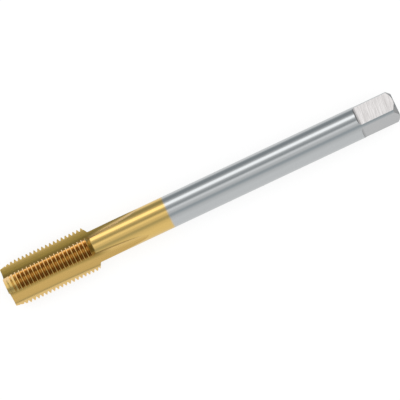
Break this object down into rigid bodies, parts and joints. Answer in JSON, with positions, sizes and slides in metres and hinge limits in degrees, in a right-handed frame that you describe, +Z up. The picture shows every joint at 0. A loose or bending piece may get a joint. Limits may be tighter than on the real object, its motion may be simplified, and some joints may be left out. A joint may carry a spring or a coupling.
{
  "type": "thread tap",
  "caption": "Straight-flute machine tap lying on its side: coated fluted thread end, slim neck and bright round shank with a square drive.",
  "frame": {"origin": "on the ground under the middle of the tool, which lies on the lips of one flute", "axes": "+X along the tool towards the square drive, the cutting end at -X; +Z up, through the middle of the top land"},
  "size_m": [0.09, 0.0097, 0.0089],
  "materials": {
    "tool_steel": "finely ground; thread, flutes and neck carry a gold titanium nitride coating"
  },
  "bodies": {
    "root": {"tap": "tool_steel"}
  },
  "joints": []
}
